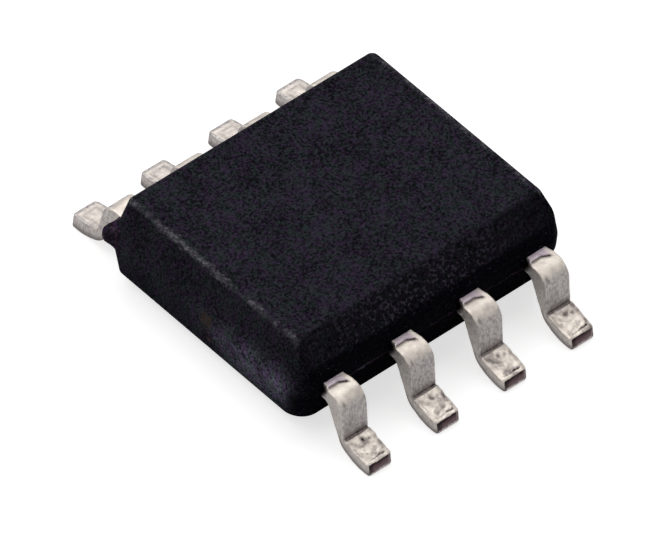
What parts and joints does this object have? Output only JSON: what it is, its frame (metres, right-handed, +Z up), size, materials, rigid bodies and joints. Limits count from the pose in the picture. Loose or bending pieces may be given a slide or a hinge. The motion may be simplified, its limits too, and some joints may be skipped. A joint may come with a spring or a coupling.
{
  "type": "operational amplifier chip",
  "caption": "Black moulded amplifier chip with a bevelled long side and tin-plated gull-wing leads for soldering flat onto a circuit board.",
  "frame": {"origin": "on the seating plane under the feet, below the middle of the lead frame and of the body's length", "axes": "+X along the rows of leads from lead 1 to lead 4, +Y across the rows from the bevelled side's leads 1 to 4 to leads 5 to 8, +Z up from the board to the top face"},
  "size_m": [0.0051, 0.006, 0.0016],
  "materials": {
    "mold_compound": "matte",
    "tin_plate": "satin",
    "lead_frame_alloy": "satin",
    "die_adhesive": "satin",
    "silicon": "polished",
    "gold_wire": "polished"
  },
  "bodies": {
    "root": {"mold_body": "mold_compound", "lead_1": "tin_plate", "lead_2": "tin_plate", "lead_3": "tin_plate", "lead_4": "tin_plate", "lead_5": "tin_plate", "lead_6": "tin_plate", "lead_7": "tin_plate", "lead_8": "tin_plate", "die_paddle": "lead_frame_alloy", "die_attach": "die_adhesive", "die": "silicon", "bond_wire_1": "gold_wire", "bond_wire_2": "gold_wire", "bond_wire_3": "gold_wire", "bond_wire_4": "gold_wire", "bond_wire_5": "gold_wire", "bond_wire_6": "gold_wire", "bond_wire_7": "gold_wire", "bond_wire_8": "gold_wire"}
  },
  "joints": []
}
